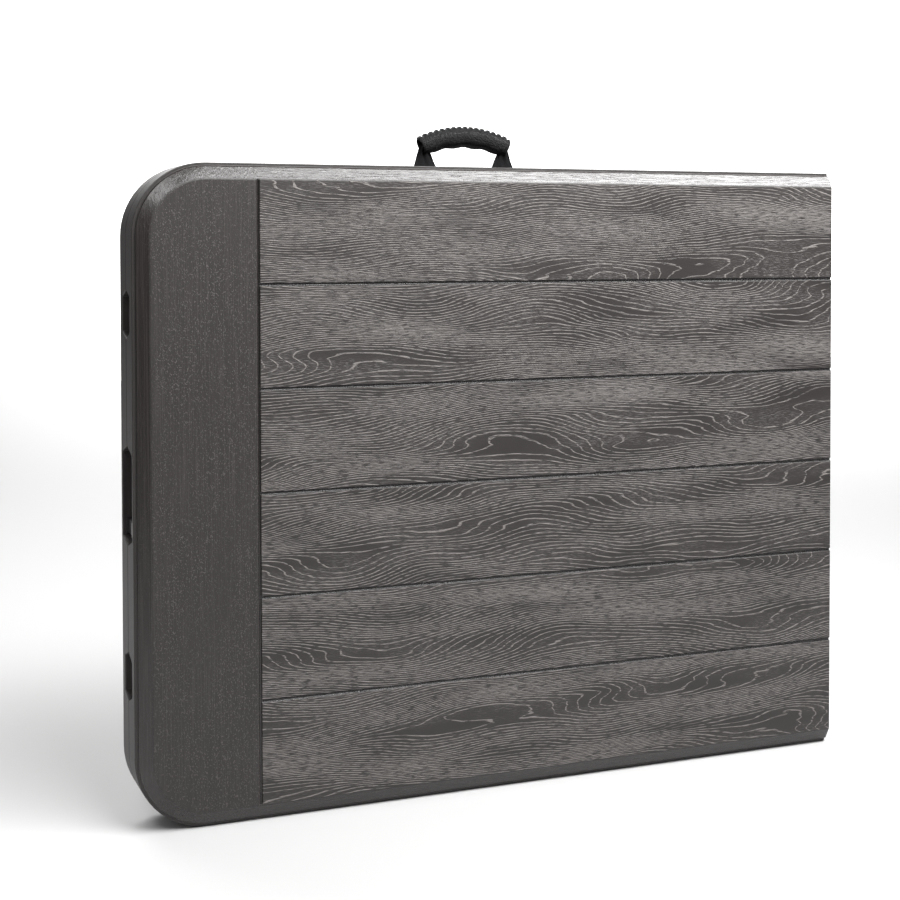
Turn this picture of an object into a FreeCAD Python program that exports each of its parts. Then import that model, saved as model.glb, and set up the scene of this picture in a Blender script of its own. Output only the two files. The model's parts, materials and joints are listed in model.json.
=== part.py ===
import FreeCAD, Part

import os
import re

import Sketcher

# Fold-in-half table, closed and standing on a long edge. Millimetres, +Z up.
# X runs along the table, Y through its thickness and Z across its width.
# The halves meet at y = 0: the front half lies at negative y and the back half at positive y.
# Each half is described once, in its own frame: x as above, v = depth from the parting plane
# towards its table surface, z = height. The back half is the same half turned half a turn about
# the X line through the middle of the width.

SIZES = {
    # moulded top
    "half_length": 900, "table_width": 740, "half_thick": 45, "corner_radius": 82,
    "rim_width": 20, "fold_wall": 14, "cavity_depth": 27, "part_gap": 0.3,
    "band_depth": 34, "band_step": 4, "shoulder_width": 15, "shoulder_drop": 8,
    "end_board": 138, "seam_width": 3, "seam_depth": 2,
    "dimple_radius": 11, "dimple_depth": 9, "dimple_pitch": 90,
    "grip_notch_width": 110, "grip_notch_slope": 8, "side_notch_width": 55, "side_notch_depth": 20,
    "side_notch_offset": 202, "strap_notch_room": 2,
    # steel side rails
    "rail_inset": 8, "rail_width": 20, "rail_depth": 23, "rail_wall": 1.5, "rail_end_gap": 2,
    "screw_radius": 2, "screw_head_radius": 4.5, "screw_head": 2.2, "screw_bite": 11, "screw_margin": 80,
    "cap_thick": 3,
    # fold hinge
    "fold_gap": 0.5, "hinge_pin_radius": 4, "hinge_head_radius": 7, "hinge_head": 2, "hinge_eye_radius": 9,
    "leaf_thick": 3, "leaf_gap": 0.3, "leaf_length": 78, "leaf_height": 18, "leaf_neck": 12,
    "notch_room": 5, "rivet_radius": 2.5, "rivet_head_radius": 4.5, "rivet_head": 1.5,
    # legs
    "table_height": 740, "leg_travel": 165, "leg_pivot_inset": 110, "leg_tube_radius": 10,
    "tube_wall": 1.5, "leg_low_inset": 47, "leg_high_inset": 77, "leg_clearance": 0.3,
    "inner_overlap": 80, "slide_gap": 0.3, "collar_wall": 2.5, "collar_length": 36, "collar_lip": 6,
    "foot_radius": 11, "foot_height": 18, "foot_sole": 4, "foot_gap": 2,
    "pivot_bar_radius": 12, "pivot_bar_gap": 0.5, "pivot_bolt_radius": 5, "pivot_plug": 20,
    "bolt_head_radius": 8, "bolt_head": 4, "shaft_gap": 0.06, "cross_bar_radius": 8,
    # leg stays
    "stay_pivot": 200, "stay_reach": 260, "stay_offset": 40, "stay_thick": 8, "stay_depth": 12,
    "stay_eye_radius": 12, "stay_eye_width": 14, "stay_ring_radius": 11, "stay_ring_width": 4,
    "stay_pin_radius": 4, "stay_pin_length": 20, "catch_gap": 0.5, "catch_wall": 4.5,
    "catch_width": 12, "catch_plate": 2, "catch_half_length": 20, "catch_lip": 4,
    # carrying handle
    "handle_inset": 404, "strap_spacing": 100, "strap_width": 28, "strap_top_width": 15, "strap_thick": 2,
    "strap_tail": 32, "grip_radius": 13, "grip_length": 116, "grip_height": 37,
    "anchor_width": 24, "anchor_height": 14, "anchor_thick": 1.5, "anchor_bite": 5,
    # catch that holds the halves shut
    "clip_offset": 38, "clip_width": 16, "clip_jaw": 2, "clip_room": 0.6, "stud_thick": 7,
    "stud_past": 12, "clip_reach": 20, "clip_plate": 2,
}

doc = FreeCAD.newDocument("folding_table")
sheet = doc.addObject("Spreadsheet::Sheet", "Sizes")
for row, (alias, value) in enumerate(SIZES.items(), start=1):
    sheet.set(f"A{row}", alias.replace("_", " "))
    sheet.set(f"B{row}", str(value))
    sheet.setAlias(f"B{row}", alias)
doc.recompute()

# Places worked out from the sizes, as expressions on the sheet.
# The hinge eyes stand out past the fold, so the panels sit a little to the other side of x = 0.
OVERHANG = "((fold_gap + hinge_eye_radius)/2)"
FREE_END = f"(-half_length/2 - {OVERHANG})"
FOLD_END = f"(half_length/2 - {OVERHANG})"
FOLD_AXIS = f"({FOLD_END} + fold_gap)"
MID_Z = "(table_width/2)"
CAVITY_START = f"({FREE_END} + rim_width)"
CAVITY_END = f"({FOLD_END} - fold_wall)"
RAIL_START = f"({FREE_END} + corner_radius + rail_end_gap)"
RAIL_END = f"({CAVITY_END} - rail_end_gap)"
RAIL_OUTER = "(rim_width + rail_inset)"
RAIL_INNER = "(rim_width + rail_inset + rail_width)"
RAIL_FACE = "(cavity_depth - rail_depth)"
COLLAR_RADIUS = "(leg_tube_radius + collar_wall)"
AXIS_V = "(cavity_depth - leg_tube_radius - collar_wall - leg_clearance)"
PIVOT_X = f"({FREE_END} + leg_pivot_inset)"
HANDLE_X = f"({FREE_END} + handle_inset)"
LEG_REACH = f"(table_height - half_thick + {AXIS_V})"
FOOT_END = f"({PIVOT_X} + {LEG_REACH} - leg_travel)"
FOOT_START = f"({FOOT_END} - foot_height)"
COLLAR_END = f"({FOOT_START} - foot_gap)"
TUBE_END = f"({COLLAR_END} - collar_lip)"
INNER_START = f"({TUBE_END} - leg_travel - inner_overlap)"
INNER_RADIUS = "(leg_tube_radius - tube_wall - slide_gap)"
CROSS_X = f"({PIVOT_X} + stay_pivot)"
CATCH_X = f"({PIVOT_X} + stay_reach)"
STAY_LENGTH = "sqrt(stay_pivot*stay_pivot + stay_reach*stay_reach)"
STAY_END = f"({CROSS_X} + {STAY_LENGTH})"
STAY_Z = "(table_width/2 - stay_offset)"
STRAP_V = f"({RAIL_FACE} - strap_thick)"
STRAP_MID = f"({STRAP_V} + strap_thick/2)"
STRAP_BEND = "(table_width + strap_thick/2)"
GRIP_Z = "(table_width + grip_height)"
ANCHOR_Z = f"(table_width - {RAIL_OUTER} - rail_width/2)"
STRAP_PLACES = [f"({HANDLE_X} + {way}*strap_spacing/2)" for way in (-1, 1)]
LEG_PLACES = {"low": f"({RAIL_INNER} + leg_low_inset)",
              "high": f"(table_width - {RAIL_INNER} - leg_high_inset)"}

NODES = {}
word = re.compile(r"\b[a-z]+(?:_[a-z]+)*\b")


def ref(text):
    """Expression text with every size's name led by the sheet's name."""
    return word.sub(lambda m: "Sizes." + m.group() if m.group() in SIZES else m.group(), str(text))


def size(text):
    """The present value of an expression on the sizes."""
    value = sheet.evalExpression(ref(text))
    return float(getattr(value, "Value", value))


def bind(obj, **properties):
    """Tie properties of an object to expressions."""
    for name, text in properties.items():
        obj.setExpression(name, ref(text))


def put(obj, x, y, z):
    """Tie an object's base point to expressions."""
    for axis, text in zip("xyz", (x, y, z)):
        obj.setExpression("Placement.Base." + axis, ref(text))


def block(name, x, v, z):
    """Box between two expressions along each direction of the half's frame."""
    obj = doc.addObject("Part::Box", name)
    bind(obj, Length=f"({x[1]}) - ({x[0]})", Width=f"({v[1]}) - ({v[0]})",
         Height=f"({z[1]}) - ({z[0]})")
    put(obj, x[0], f"-({v[1]})", z[0])
    return obj


TURNS = {
    "x": FreeCAD.Rotation(FreeCAD.Vector(0, 1, 0), 90),
    "v": FreeCAD.Rotation(FreeCAD.Vector(1, 0, 0), 90),
    "z": FreeCAD.Rotation(),
}


def rod(name, along, x, v, z, radius):
    """Cylinder along x, v or z: that direction is a pair of expressions, the other two its centre."""
    obj = doc.addObject("Part::Cylinder", name)
    span = {"x": x, "v": v, "z": z}[along]
    start = {"x": x, "v": v, "z": z}
    start[along] = span[0]
    bind(obj, Radius=radius, Height=f"({span[1]}) - ({span[0]})")
    obj.Placement = FreeCAD.Placement(FreeCAD.Vector(), TURNS[along])
    put(obj, start["x"], f"-({start['v']})", start["z"])
    return obj


def cut(name, base, *tools):
    """One solid with others taken away."""
    for number, tool in enumerate(tools):
        obj = doc.addObject("Part::Cut", f"{name}_cut{number}")
        obj.Base = base
        obj.Tool = tool
        base = obj
    return base


def fuse(name, *shapes):
    """Solids joined to one."""
    obj = doc.addObject("Part::MultiFuse", name + "_joined")
    obj.Shapes = list(shapes)
    obj.Refine = True
    return obj


def seat(obj, side):
    """Leave a front piece where it is drawn, and give a back piece the half turn."""
    if side == "back":
        turn = FreeCAD.Rotation(FreeCAD.Vector(1, 0, 0), 180)
        obj.Placement = FreeCAD.Placement(FreeCAD.Vector(), turn)
        put(obj, "0", "0", "table_width")


def node(label, side, *shapes):
    """Sub-part made of one solid or a group of like solids."""
    obj = doc.addObject("Part::Compound", label)
    obj.Links = list(shapes)
    obj.Label = label
    seat(obj, side)
    NODES[label] = obj
    return obj


def mirror_z(end, low, high):
    """A span measured from the low edge, or the same span measured from the high edge."""
    if end == "low":
        return low, high
    return f"(table_width - {high})", f"(table_width - {low})"


def plane(body, role):
    """One of a body's own origin planes."""
    return next(item for item in body.Origin.OriginFeatures if item.Role == role)


def sketch(body, name, role, offset):
    """Sketch on an origin plane of its body, moved along the plane's normal."""
    obj = body.newObject("Sketcher::SketchObject", name)
    obj.AttachmentSupport = [(plane(body, role), "")]
    obj.MapMode = "FlatFace"
    obj.setExpression(".AttachmentOffset.Base.z", ref(offset))
    return obj


def loop(obj, points):
    """Closed outline whose corners are tied to pairs of expressions."""
    values = [FreeCAD.Vector(size(a), size(b), 0) for a, b in points]
    first = obj.GeometryCount
    count = len(points)
    for number, start in enumerate(values):
        obj.addGeometry(Part.LineSegment(start, values[(number + 1) % count]), False)
    for number in range(count):
        after = first + (number + 1) % count
        obj.addConstraint(Sketcher.Constraint("Coincident", first + number, 2, after, 1))
    for number, pair in enumerate(points):
        for kind, text in zip(("DistanceX", "DistanceY"), pair):
            place = obj.addConstraint(Sketcher.Constraint(kind, -1, 1, first + number, 1, size(text)))
            obj.setExpression(f"Constraints[{place}]", ref(text))


def rectangle(obj, x, z):
    """Upright rectangular outline between pairs of expressions."""
    loop(obj, [(x[0], z[0]), (x[1], z[0]), (x[1], z[1]), (x[0], z[1])])


def circle(obj, x, z, radius):
    """Round outline tied to its centre and radius."""
    centre = FreeCAD.Vector(size(x), size(z), 0)
    number = obj.addGeometry(Part.Circle(centre, FreeCAD.Vector(0, 0, 1), size(radius)), False)
    for kind, text in (("DistanceX", x), ("DistanceY", z)):
        place = obj.addConstraint(Sketcher.Constraint(kind, -1, 1, number, 3, size(text)))
        obj.setExpression(f"Constraints[{place}]", ref(text))
    place = obj.addConstraint(Sketcher.Constraint("Radius", number, size(radius)))
    obj.setExpression(f"Constraints[{place}]", ref(radius))


def settle(obj):
    """Recompute the document and stop at once if this object failed."""
    doc.recompute()
    if "Invalid" in obj.State or "Error" in obj.State:
        raise RuntimeError(f"{obj.Label}: {obj.getStatusString()}")


def feature(body, kind, name, profile, length):
    """Pad or Pocket of a sketch. A pocket that cuts nothing is an error."""
    doc.recompute()
    before = body.Shape.Volume if body.Tip else 0
    obj = body.newObject("PartDesign::" + kind, name)
    obj.Profile = profile
    bind(obj, Length=length)
    settle(obj)
    if kind == "Pocket" and not body.Shape.Volume < before - 1:
        raise RuntimeError(name + " cuts nothing")
    return obj


def edge_names(shape, wanted):
    """Names of the edges that a test on an edge accepts."""
    return [f"Edge{number}" for number, edge in enumerate(shape.Edges, start=1) if wanted(edge)]


def dress(body, kind, name, wanted, **properties):
    """Fillet or Chamfer on the chosen edges of what the body is so far."""
    base = body.Tip
    obj = body.newObject("PartDesign::" + kind, name)
    obj.Base = (base, edge_names(base.Shape, wanted))
    if kind == "Chamfer":
        obj.ChamferType = "Two distances"
    bind(obj, **properties)
    settle(obj)
    return obj


def along_y(edge, x, tolerance=0.01):
    """Whether an edge is straight, runs along Y and stands at x."""
    box = edge.BoundBox
    thin = box.XLength < tolerance and box.ZLength < tolerance
    return thin and abs(box.XMin - x) < tolerance and box.YLength > tolerance


def at_depth(edge, depth, tolerance=0.01):
    """Whether an edge lies in the plane at one depth."""
    box = edge.BoundBox
    return box.YLength < tolerance and abs(box.YMin + depth) < tolerance


def dimples():
    """Centres of the tack-off dents in the underside, in rows clear of the rails and legs."""
    columns = 8
    for column in range(columns):
        step = column - (columns - 1) / 2
        for line in (-2, -1, 1, 2):
            yield f"({FREE_END} + {FOLD_END})/2 + ({step})*dimple_pitch", f"{MID_Z} + {line}*dimple_pitch"


def rail_screws(end):
    """Places of the screws that hold the rail at one edge: x along the rail, z at its middle.
    The second screw sits between the handle's straps, and the third halfway from it to the last."""
    middle = f"({RAIL_OUTER} + rail_width/2)"
    height = middle if end == "low" else f"(table_width - {middle})"
    last = f"({RAIL_END} - screw_margin)"
    for x in (f"({RAIL_START} + screw_margin)", HANDLE_X, f"(({HANDLE_X} + {last})/2)", last):
        yield x, height


def catch_screws():
    """Places of the two screws that hold a stay's catch."""
    for way in (-1, 1):
        yield f"({CATCH_X} + {way}*(catch_half_length - screw_head_radius - 1))", \
            f"({STAY_Z} + stay_thick/2 + 3 + catch_width/2)"


def top_panel(side):
    """Blow-moulded half of the top: rim, shoulder, board seams, cavity, notches and dents."""
    label = side + "_top_panel"
    body = doc.addObject("PartDesign::Body", label)
    body.Label = label
    whole = sketch(body, "rim_outline", "XZ_Plane", "part_gap")
    rectangle(whole, (FREE_END, FOLD_END), ("0", "table_width"))
    feature(body, "Pad", "rim", whole, "band_depth - part_gap")
    crown = sketch(body, "crown_outline", "XZ_Plane", "band_depth")
    rectangle(crown, (f"({FREE_END} + band_step)", FOLD_END), ("band_step", "(table_width - band_step)"))
    feature(body, "Pad", "crown", crown, "half_thick - band_depth")
    hollow = sketch(body, "cavity_outline", "XZ_Plane", "cavity_depth")
    rectangle(hollow, (CAVITY_START, CAVITY_END), ("rim_width", "(table_width - rim_width)"))
    feature(body, "Pocket", "cavity", hollow, "cavity_depth")
    dress(body, "Fillet", "cavity_corners", lambda e: along_y(e, size(CAVITY_START)),
          Radius="corner_radius - rim_width")
    dress(body, "Fillet", "crown_corners", lambda e: along_y(e, size(FREE_END + " + band_step")),
          Radius="corner_radius - band_step")
    dress(body, "Fillet", "rim_corners", lambda e: along_y(e, size(FREE_END)), Radius="corner_radius")
    on_crown = size("half_thick")
    dress(body, "Chamfer", "shoulder",
          lambda e: at_depth(e, on_crown) and e.BoundBox.XMin < size(FOLD_END) - 1,
          Size="shoulder_drop", Size2="shoulder_width")
    seams = sketch(body, "board_seams", "XZ_Plane", "half_thick")
    seam_x = f"({FREE_END} + end_board)"
    board = "((table_width - 2*band_step - 2*shoulder_width)/6)"
    for number in range(1, 6):
        middle = f"(band_step + shoulder_width + {number}*{board})"
        rectangle(seams, (seam_x + " + seam_width", FOLD_END + " + 1"),
                  (middle + " - seam_width/2", middle + " + seam_width/2"))
    feature(body, "Pocket", "board_grooves", seams, "seam_depth")
    across = sketch(body, "end_seam", "XZ_Plane", "half_thick")
    rectangle(across, (seam_x, seam_x + " + seam_width"),
              ("band_step + shoulder_width", "table_width - band_step - shoulder_width"))
    feature(body, "Pocket", "end_groove", across, "seam_depth")
    notches = sketch(body, "end_notches", "YZ_Plane", f"{CAVITY_START} + 5")
    half = "grip_notch_width/2"
    loop(notches, [("1", f"{MID_Z} - {half} - 1"), ("1", f"{MID_Z} + {half} + 1"),
                   ("-cavity_depth", f"{MID_Z} + {half} - grip_notch_slope"),
                   ("-cavity_depth", f"{MID_Z} - {half} + grip_notch_slope")])
    for way in (-1, 1):
        middle = f"({MID_Z} + {way}*side_notch_offset)"
        half = "side_notch_width/2"
        loop(notches, [("1", f"{middle} - {half}"), ("1", f"{middle} + {half}"),
                       ("-side_notch_depth", f"{middle} + {half} - grip_notch_slope"),
                       ("-side_notch_depth", f"{middle} - {half} + grip_notch_slope")])
    feature(body, "Pocket", "end_wall_notches", notches, "rim_width + 10")
    openings = sketch(body, "hinge_notches", "XZ_Plane", "cavity_depth")
    for end in ("low", "high"):
        rectangle(openings, (CAVITY_END + " - 1", FOLD_END + " + 1"),
                  mirror_z(end, f"({RAIL_INNER} - notch_room)",
                           f"({RAIL_INNER} + 2*leaf_thick + leaf_gap + hinge_head + notch_room)"))
    feature(body, "Pocket", "hinge_openings", openings, "cavity_depth")
    slot_depth = f"({RAIL_FACE} + part_gap)"
    slots = sketch(body, "strap_notches", "XZ_Plane", slot_depth)
    for middle in STRAP_PLACES:
        room = "(strap_width/2 + strap_notch_room)"
        rectangle(slots, (f"{middle} - {room}", f"{middle} + {room}"),
                  ("table_width - rim_width - 1", "table_width + 1"))
    feature(body, "Pocket", "strap_slots", slots, slot_depth)
    dents = sketch(body, "tack_off_dents", "XZ_Plane", "cavity_depth + dimple_depth")
    for x, z in dimples():
        circle(dents, x, z, "dimple_radius")
    feature(body, "Pocket", "dents", dents, "dimple_depth")
    pilots = sketch(body, "screw_pilots", "XZ_Plane", "cavity_depth + screw_bite")
    for x, z in (*rail_screws("low"), *rail_screws("high"), *catch_screws()):
        circle(pilots, x, z, "screw_radius")
    feature(body, "Pocket", "pilot_holes", pilots, "screw_bite")
    seat(body, side)
    NODES[label] = body


def screw(name, x, z, head_face, tip):
    """Pan-head screw driven towards the table surface from one depth to another."""
    head = rod(name + "_head", "v", x, (f"{head_face} - screw_head", head_face), z, "screw_head_radius")
    shank = rod(name + "_shank", "v", x, (head_face, tip), z, "screw_radius")
    return fuse(name, head, shank)


def rails(side):
    """Square steel tubes along both long edges, with plastic caps, screws and hinge leaves."""
    tip = "(cavity_depth + screw_bite)"
    screws = []
    for end in ("low", "high"):
        label = f"{side}_{end}_rail"
        z = mirror_z(end, RAIL_OUTER, RAIL_INNER)
        core = mirror_z(end, f"({RAIL_OUTER} + rail_wall)", f"({RAIL_INNER} - rail_wall)")
        tube = block(label + "_tube", (RAIL_START, RAIL_END), (RAIL_FACE, "cavity_depth"), z)
        bore = block(label + "_bore", (RAIL_START + " - 1", RAIL_END + " + 1"),
                     (RAIL_FACE + " + rail_wall", "cavity_depth - rail_wall"), core)
        hole = rod(label + "_hole", "z", PIVOT_X, AXIS_V, (z[0] + " - 1", z[1] + " + 1"),
                   "pivot_bolt_radius + shaft_gap")
        holes = [rod(f"{label}_rivet_hole{n}", "z", x, AXIS_V, (z[0] + " - 1", z[1] + " + 1"), "rivet_radius")
                 for n, x in enumerate(leaf_rivets())]
        holes += [rod(f"{label}_screw_hole{n}", "v", x, (RAIL_FACE + " - 1", "cavity_depth + 1"), height,
                      "screw_radius")
                  for n, (x, height) in enumerate(rail_screws(end))]
        if (side, end) == ("front", "high"):
            front_wall = (RAIL_FACE + " - 1", RAIL_FACE + " + rail_wall + 1")
            holes += [rod(f"{label}_anchor_hole{n}", "v", x, front_wall, ANCHOR_Z, "screw_radius")
                      for n, x in enumerate(STRAP_PLACES)]
        node(label, side, cut(label, tube, bore, hole, *holes))
        screws += [screw(f"{label}_screw{n}", x, height, RAIL_FACE, tip)
                   for n, (x, height) in enumerate(rail_screws(end))]
    node(side + "_rail_screws", side, *screws)
    caps = []
    for end in ("low", "high"):
        z = mirror_z(end, RAIL_OUTER, RAIL_INNER)
        caps.append(block(f"{side}_{end}_cap", (RAIL_START + " - cap_thick", RAIL_START),
                          (RAIL_FACE, "cavity_depth"), z))
    node(side + "_rail_caps", side, *caps)


def leaf_rivets():
    """Places along x of the two rivets of a hinge leaf."""
    start = f"({FOLD_AXIS} - leaf_length)"
    return f"({start} + 12)", f"({start} + 42)"


def leaves(side):
    """Hinge leaves on the rails' inner faces: the one at the high edge steps past its mate."""
    for end in ("low", "high"):
        label = f"{side}_{end}_hinge_leaf"
        plain = end == "low"
        inner = RAIL_INNER if plain else f"({RAIL_INNER} + leaf_thick + leaf_gap)"
        z = mirror_z(end, inner, f"({inner} + leaf_thick)")
        v = (f"({AXIS_V} - leaf_height/2)", f"({AXIS_V} + leaf_height/2)")
        start = f"({FOLD_AXIS} - leaf_length)"
        plate = block(label + "_plate", (start, f"({FOLD_AXIS} - hinge_eye_radius)"), v, z)
        neck = block(label + "_neck", (f"({FOLD_AXIS} - 3*hinge_eye_radius)", FOLD_AXIS), ("0", "leaf_neck"), z)
        eye = rod(label + "_eye", "z", FOLD_AXIS, "0", z, "hinge_eye_radius")
        shapes = [plate, neck, eye]
        if not plain:
            pad = mirror_z(end, RAIL_INNER, inner)
            shapes.append(block(label + "_step", (start, RAIL_END), v, pad))
        whole = fuse(label, *shapes)
        bore = "hinge_pin_radius" if side == "front" else "hinge_pin_radius + shaft_gap"
        tall = mirror_z(end, "0", "table_width/4")
        holes = [rod(label + "_pin_hole", "z", FOLD_AXIS, "0", tall, bore)]
        holes += [rod(f"{label}_rivet_hole{n}", "z", x, AXIS_V, tall, "rivet_radius")
                  for n, x in enumerate(leaf_rivets())]
        node(label, side, cut(label, whole, *holes))
    rivets = []
    for end in ("low", "high"):
        grip = "leaf_thick" if end == "low" else "(2*leaf_thick + leaf_gap)"
        top = f"({RAIL_INNER} + {grip})"
        for n, x in enumerate(leaf_rivets()):
            name = f"{side}_{end}_rivet{n}"
            shank = rod(name + "_shank", "z", x, AXIS_V,
                        mirror_z(end, f"({RAIL_INNER} - rail_wall)", top), "rivet_radius")
            head = rod(name + "_head", "z", x, AXIS_V,
                       mirror_z(end, top, f"({top} + rivet_head)"), "rivet_head_radius")
            tail = rod(name + "_tail", "z", x, AXIS_V,
                       mirror_z(end, f"({RAIL_INNER} - rail_wall - rivet_head)", f"({RAIL_INNER} - rail_wall)"),
                       "rivet_head_radius")
            rivets.append(fuse(name, shank, head, tail))
    node(side + "_leaf_rivets", side, *rivets)


def hinge_pins():
    """Two headed pins on the fold axis, carried by the front leaves."""
    near = RAIL_INNER
    far = f"({RAIL_INNER} + 2*leaf_thick + leaf_gap)"
    spans = {"low": (near, f"({far} + leaf_gap)"), "high": (f"({near} - leaf_gap)", far)}
    pins = []
    for end, (start, stop) in spans.items():
        name = f"{end}_hinge_pin"
        shank = rod(name + "_shank", "z", FOLD_AXIS, "0", mirror_z(end, start, stop), "hinge_pin_radius")
        first = rod(name + "_head", "z", FOLD_AXIS, "0",
                    mirror_z(end, f"({start} - hinge_head)", start), "hinge_head_radius")
        second = rod(name + "_tail", "z", FOLD_AXIS, "0",
                     mirror_z(end, stop, f"({stop} + hinge_head)"), "hinge_head_radius")
        pins.append(fuse(name, shank, first, second))
    node("hinge_pins", "front", *pins)


def legs(side):
    """Leg frame of one half: pivot bar, cross bar, two telescopic legs, collars and feet."""
    frame_z = (f"({RAIL_INNER} + pivot_bar_gap)", f"(table_width - {RAIL_INNER} - pivot_bar_gap)")
    bar = rod(side + "_pivot_bar_rod", "z", PIVOT_X, AXIS_V, frame_z, "pivot_bar_radius")
    hollow = rod(side + "_pivot_bar_bore", "z", PIVOT_X, AXIS_V,
                 (frame_z[0] + " + pivot_plug", frame_z[1] + " - pivot_plug"), "pivot_bar_radius - tube_wall")
    bolt_bore = rod(side + "_pivot_bar_bolt_bore", "z", PIVOT_X, AXIS_V,
                    (frame_z[0] + " - 1", frame_z[1] + " + 1"), "pivot_bolt_radius")
    node(side + "_leg_pivot_bar", side, cut(side + "_pivot_bar", bar, hollow, bolt_bore))
    bolts = []
    for end in ("low", "high"):
        name = f"{side}_{end}_pivot_bolt"
        face = f"({RAIL_OUTER} - leg_clearance)"
        shank = rod(name + "_shank", "z", PIVOT_X, AXIS_V,
                    mirror_z(end, face, f"({RAIL_INNER} + pivot_bar_gap + pivot_plug)"), "pivot_bolt_radius")
        head = rod(name + "_head", "z", PIVOT_X, AXIS_V,
                   mirror_z(end, f"({face} - bolt_head)", face), "bolt_head_radius")
        bolts.append(fuse(name, shank, head))
    node(side + "_leg_pivot_bolts", side, *bolts)
    cross = rod(side + "_cross_bar_rod", "z", CROSS_X, AXIS_V,
                (LEG_PLACES["low"], LEG_PLACES["high"]), "cross_bar_radius")
    cross_bore = rod(side + "_cross_bar_bore", "z", CROSS_X, AXIS_V,
                     (LEG_PLACES["low"], LEG_PLACES["high"]), "cross_bar_radius - tube_wall")
    cope = [rod(f"{side}_{end}_cope", "x", (PIVOT_X, TUBE_END), AXIS_V, z, "leg_tube_radius")
            for end, z in LEG_PLACES.items()]
    node(side + "_leg_cross_bar", side, cut(side + "_cross_bar", cross, cross_bore, *cope))
    for end, z in LEG_PLACES.items():
        label = f"{side}_{end}_leg"
        outer = rod(label + "_outer_rod", "x", (PIVOT_X, TUBE_END), AXIS_V, z, "leg_tube_radius")
        bore = rod(label + "_outer_bore", "x", (PIVOT_X, TUBE_END + " + 1"), AXIS_V, z,
                   "leg_tube_radius - tube_wall")
        saddle = rod(label + "_saddle", "z", PIVOT_X, AXIS_V, frame_z, "pivot_bar_radius")
        node(label + "_outer_tube", side, cut(label + "_outer", outer, bore, saddle))
        inner = rod(label + "_inner_rod", "x", (INNER_START, FOOT_END + " - foot_sole"), AXIS_V, z,
                    INNER_RADIUS)
        inner_bore = rod(label + "_inner_bore", "x", (INNER_START + " - 1", FOOT_END), AXIS_V, z,
                         INNER_RADIUS + " - tube_wall")
        node(label + "_inner_tube", side, cut(label + "_inner", inner, inner_bore))
        foot = rod(label + "_foot_rod", "x", (FOOT_START, FOOT_END), AXIS_V, z, "foot_radius")
        socket = rod(label + "_foot_socket", "x", (FOOT_START + " - 1", FOOT_END + " - foot_sole"), AXIS_V, z,
                     INNER_RADIUS)
        node(label + "_foot", side, cut(label + "_foot", foot, socket))
        collar = rod(label + "_collar_rod", "x", (COLLAR_END + " - collar_length", COLLAR_END), AXIS_V, z,
                     COLLAR_RADIUS)
        sleeve = rod(label + "_collar_sleeve", "x",
                     (COLLAR_END + " - collar_length - 1", f"({TUBE_END} + slide_gap)"), AXIS_V, z,
                     "leg_tube_radius + slide_gap")
        lip = rod(label + "_collar_lip", "x", (TUBE_END, COLLAR_END + " + 1"), AXIS_V, z,
                  INNER_RADIUS + " + slide_gap")
        node(label + "_collar", side, cut(label + "_collar", collar, sleeve, lip))


def stay(side):
    """Swinging stay with its rings on the cross bar, and the catch on the underside that takes its pin."""
    name = side + "_leg_stay"
    half = "stay_thick/2"
    eye = rod(name + "_eye", "z", CROSS_X, AXIS_V,
              (f"{STAY_Z} - stay_eye_width/2", f"{STAY_Z} + stay_eye_width/2"), "stay_eye_radius")
    bar = block(name + "_bar", (CROSS_X, STAY_END), (f"{AXIS_V} - stay_depth/2", f"{AXIS_V} + stay_depth/2"),
                (f"{STAY_Z} - {half}", f"{STAY_Z} + {half}"))
    nose = rod(name + "_nose", "z", STAY_END, AXIS_V, (f"{STAY_Z} - {half}", f"{STAY_Z} + {half}"),
               "stay_depth/2")
    pin = rod(name + "_pin", "z", STAY_END, AXIS_V,
              (f"{STAY_Z} - {half}", f"{STAY_Z} + stay_pin_length"), "stay_pin_radius")
    bore = rod(name + "_bore", "z", CROSS_X, AXIS_V, (f"{STAY_Z} - 20", f"{STAY_Z} + 20"),
               "cross_bar_radius + shaft_gap")
    node(name, side, cut(name, fuse(name, eye, bar, nose, pin), bore))
    rings = []
    for number, way in enumerate((-1, 1)):
        near = f"{way}*(stay_eye_width/2 + slide_gap)"
        far = f"{way}*(stay_eye_width/2 + slide_gap + stay_ring_width)"
        z = (near, far) if way > 0 else (far, near)
        z = tuple(f"({STAY_Z} + {text})" for text in z)
        ring = rod(f"{side}_ring{number}", "z", CROSS_X, AXIS_V, z, "stay_ring_radius")
        hole = rod(f"{side}_ring_hole{number}", "z", CROSS_X, AXIS_V, z, "cross_bar_radius")
        rings.append(cut(f"{side}_stay_ring{number}", ring, hole))
    node(side + "_stay_rings", side, *rings)
    label = side + "_stay_catch"
    z = (f"({STAY_Z} + {half} + 3)", f"({STAY_Z} + {half} + 3 + catch_width)")
    face = "(cavity_depth - catch_plate)"
    back = f"({CATCH_X} - stay_pin_radius - catch_gap)"
    lip_top = f"({AXIS_V} - stay_pin_radius - catch_gap)"
    plate = block(label + "_plate", (f"{CATCH_X} - catch_half_length", f"{CATCH_X} + catch_half_length"),
                  (face, "cavity_depth"), z)
    stem = block(label + "_stem", (f"{back} - catch_wall", back), (f"{lip_top} - catch_lip", face), z)
    lip = block(label + "_lip", (f"{back} - catch_wall", CATCH_X), (f"{lip_top} - catch_lip", lip_top), z)
    holes = [rod(f"{label}_hole{n}", "v", x, (face + " - 1", "cavity_depth + 1"), height, "screw_radius")
             for n, (x, height) in enumerate(catch_screws())]
    node(label, side, cut(label, fuse(label, plate, stem, lip), *holes))
    node(side + "_catch_screws", side,
         *[screw(f"{side}_catch_screw{n}", x, height, face, "cavity_depth + screw_bite")
           for n, (x, height) in enumerate(catch_screws())])


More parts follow.
